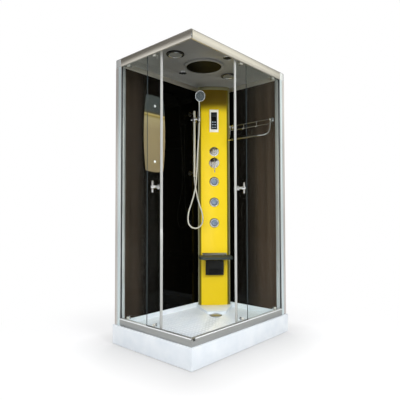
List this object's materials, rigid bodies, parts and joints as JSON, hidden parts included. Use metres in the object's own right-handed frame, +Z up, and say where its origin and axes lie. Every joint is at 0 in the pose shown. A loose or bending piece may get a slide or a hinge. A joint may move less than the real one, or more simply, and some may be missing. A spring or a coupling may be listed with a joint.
{
  "type": "steam shower cabin",
  "caption": "Rectangular steam shower cabin with corner entry: white tray, sliding glass doors, black rear walls and a yellow column with jets, controls and a fold-down seat.",
  "frame": {"origin": "centre of the tray's footprint, on the floor that the feet stand on", "axes": "+Z up; the long glass front faces -Y; the short glass side faces -X; the column stands across the rear corner at +X +Y"},
  "size_m": [1.217, 0.867, 2.288],
  "materials": {
    "tray_acrylic": "glossy moulded sanitary acrylic",
    "galvanised_steel": "galvanised steel tube",
    "drain_plastic": "moulded polypropylene",
    "chrome": "polished chrome plate",
    "rail_aluminium": "satin champagne anodised extrusion",
    "post_aluminium": "bright anodised extrusion",
    "cast_joiner": "die-cast",
    "clear_glass": "clear toughened glass",
    "black_glass": "black back-painted glass",
    "roof_acrylic": "satin grey thermoformed acrylic",
    "dark_gloss": "glossy near-black plastic",
    "white_seal": "extruded white plastic",
    "nylon": "moulded nylon",
    "yellow_panel": "glossy yellow acrylic panel",
    "dark_seat": "dark grey moulded plastic",
    "black_plastic": "satin black plastic",
    "display_glass": "dark display window",
    "key_plastic": "grey key caps",
    "brass": "cast brass",
    "steel_tank": "brushed stainless steel",
    "jet_face": "blue-grey moulded nozzle",
    "mirror_glass": "silvered glass on chrome studs",
    "hose_metal": "wound steel strip hose",
    "fan_plastic": "moulded fan blades"
  },
  "bodies": {
    "cabin": {"bottom_rails": "rail_aluminium", "ceiling_disc": "dark_gloss", "column_frame": "post_aluminium", "column_panel": "yellow_panel", "control_bezel": "white_seal", "control_display": "display_glass", "corner_cleats": "cast_joiner", "downlights": "chrome", "drain_cover": "chrome", "drain_trap": "drain_plastic", "end_wall": "black_glass", "fixed_pane_front": "clear_glass", "fixed_pane_side": "clear_glass", "jet_housings": "chrome", "levelling_feet": "galvanised_steel", "mirror": "mirror_glass", "rear_wall": "black_glass", "riser_rail": "chrome", "roof_cap": "roof_acrylic", "roof_grilles": "roof_acrylic", "seat_hinge": "steel_tank", "shower_hose": "hose_metal", "shower_tray": "tray_acrylic", "steam_generator": "steel_tank", "steam_outlet": "black_plastic", "top_rails": "rail_aluminium", "towel_rack": "chrome", "tray_frame": "galvanised_steel", "wall_posts": "post_aluminium", "wall_top_rails": "rail_aluminium", "water_manifold": "brass"},
    "front_door": {"front_door_glass": "clear_glass", "front_door_strip": "white_seal", "front_door_handle": "chrome", "front_door_carriers": "nylon"},
    "front_door_wheel_1": {"front_door_wheel_1": "nylon"},
    "front_door_wheel_2": {"front_door_wheel_2": "nylon"},
    "side_door": {"side_door_glass": "clear_glass", "side_door_strip": "white_seal", "side_door_handle": "chrome", "side_door_carriers": "nylon"},
    "side_door_wheel_1": {"side_door_wheel_1": "nylon"},
    "side_door_wheel_2": {"side_door_wheel_2": "nylon"},
    "fan": {"fan_rotor": "fan_plastic"},
    "diverter": {"diverter_knob": "chrome"},
    "mixer": {"mixer_collar": "chrome"},
    "lever": {"mixer_lever": "chrome"},
    "slider": {"handset_slider": "chrome"},
    "hand_shower": {"handset_cradle": "chrome", "handset": "chrome"},
    "seat": {"seat": "dark_seat"},
    "key_1": {"control_key_1": "key_plastic"},
    "key_2": {"control_key_2": "key_plastic"},
    "key_3": {"control_key_3": "key_plastic"},
    "key_4": {"control_key_4": "key_plastic"},
    "key_5": {"control_key_5": "key_plastic"},
    "key_6": {"control_key_6": "key_plastic"},
    "nozzle_1": {"jet_nozzle_1": "jet_face"},
    "nozzle_2": {"jet_nozzle_2": "jet_face"},
    "nozzle_3": {"jet_nozzle_3": "jet_face"}
  },
  "joints": [
    {"name": "front_door_slide", "type": "slide", "parent": "cabin", "child": "front_door", "axis": [-1, 0, 0], "range_m": [0, 0.469]},
    {"name": "front_door_wheel_1_roll", "type": "hinge", "parent": "front_door", "child": "front_door_wheel_1", "pos_m": [0.001, -0.386, 0.2148], "axis": [0, -1, 0], "continuous": true},
    {"name": "front_door_wheel_2_roll", "type": "hinge", "parent": "front_door", "child": "front_door_wheel_2", "pos_m": [0.459, -0.386, 0.2148], "axis": [0, -1, 0], "continuous": true},
    {"name": "side_door_slide", "type": "slide", "parent": "cabin", "child": "side_door", "axis": [0, -1, 0], "range_m": [0, 0.29]},
    {"name": "side_door_wheel_1_roll", "type": "hinge", "parent": "side_door", "child": "side_door_wheel_1", "pos_m": [-0.561, -0.015, 0.2148], "axis": [1, 0, 0], "continuous": true},
    {"name": "side_door_wheel_2_roll", "type": "hinge", "parent": "side_door", "child": "side_door_wheel_2", "pos_m": [-0.561, 0.284, 0.2148], "axis": [1, 0, 0], "continuous": true},
    {"name": "fan_spin", "type": "hinge", "parent": "cabin", "child": "fan", "pos_m": [0, -0.25, 2.259], "axis": [0, 0, 1], "continuous": true},
    {"name": "key_1_press", "type": "slide", "parent": "cabin", "child": "key_1", "axis": [0.7071, 0.7071, 0], "range_m": [0, 0.0012], "stiffness_N_per_m": 900, "springref_m": -0.0006},
    {"name": "key_2_press", "type": "slide", "parent": "cabin", "child": "key_2", "axis": [0.7071, 0.7071, 0], "range_m": [0, 0.0012], "stiffness_N_per_m": 900, "springref_m": -0.0006},
    {"name": "key_3_press", "type": "slide", "parent": "cabin", "child": "key_3", "axis": [0.7071, 0.7071, 0], "range_m": [0, 0.0012], "stiffness_N_per_m": 900, "springref_m": -0.0006},
    {"name": "key_4_press", "type": "slide", "parent": "cabin", "child": "key_4", "axis": [0.7071, 0.7071, 0], "range_m": [0, 0.0012], "stiffness_N_per_m": 900, "springref_m": -0.0006},
    {"name": "key_5_press", "type": "slide", "parent": "cabin", "child": "key_5", "axis": [0.7071, 0.7071, 0], "range_m": [0, 0.0012], "stiffness_N_per_m": 900, "springref_m": -0.0006},
    {"name": "key_6_press", "type": "slide", "parent": "cabin", "child": "key_6", "axis": [0.7071, 0.7071, 0], "range_m": [0, 0.0012], "stiffness_N_per_m": 900, "springref_m": -0.0006},
    {"name": "diverter_turn", "type": "hinge", "parent": "cabin", "child": "diverter", "pos_m": [0.4264, 0.2514, 1.602], "axis": [0.7071, 0.7071, 0], "range_deg": [-90, 90]},
    {"name": "mixer_turn", "type": "hinge", "parent": "cabin", "child": "mixer", "pos_m": [0.4264, 0.2514, 1.494], "axis": [0.7071, 0.7071, 0], "range_deg": [-35, 35]},
    {"name": "mixer_lift", "type": "hinge", "parent": "mixer", "child": "lever", "pos_m": [0.41579, 0.24079, 1.494], "axis": [-0.7071, 0.7071, 0], "range_deg": [0, 18]},
    {"name": "nozzle_1_tilt", "type": "hinge", "parent": "cabin", "child": "nozzle_1", "pos_m": [0.43729, 0.26229, 0.924], "axis": [0.7071, -0.7071, 0], "range_deg": [-12, 12]},
    {"name": "nozzle_2_tilt", "type": "hinge", "parent": "cabin", "child": "nozzle_2", "pos_m": [0.43729, 0.26229, 1.12], "axis": [0.7071, -0.7071, 0], "range_deg": [-12, 12]},
    {"name": "nozzle_3_tilt", "type": "hinge", "parent": "cabin", "child": "nozzle_3", "pos_m": [0.43729, 0.26229, 1.316], "axis": [0.7071, -0.7071, 0], "range_deg": [-12, 12]},
    {"name": "slider_slide", "type": "slide", "parent": "cabin", "child": "slider", "axis": [0, 0, 1], "range_m": [-0.42, 0.028], "deforming": ["shower_hose"]},
    {"name": "cradle_tilt", "type": "hinge", "parent": "slider", "child": "hand_shower", "pos_m": [0.25224, 0.28685, 1.888], "axis": [0.7071, -0.7071, 0], "range_deg": [0, 22], "deforming": ["shower_hose"]},
    {"name": "seat_fold", "type": "hinge", "parent": "cabin", "child": "seat", "pos_m": [0.41819, 0.24319, 0.616], "axis": [-0.7071, 0.7071, 0], "range_deg": [0, 90]}
  ],
  "couplings": [
    {"joint": "front_door_wheel_1_roll", "follows": "front_door_slide", "rad_per_m": 105.26},
    {"joint": "front_door_wheel_2_roll", "follows": "front_door_slide", "rad_per_m": 105.26},
    {"joint": "side_door_wheel_1_roll", "follows": "side_door_slide", "rad_per_m": 105.26},
    {"joint": "side_door_wheel_2_roll", "follows": "side_door_slide", "rad_per_m": 105.26}
  ]
}
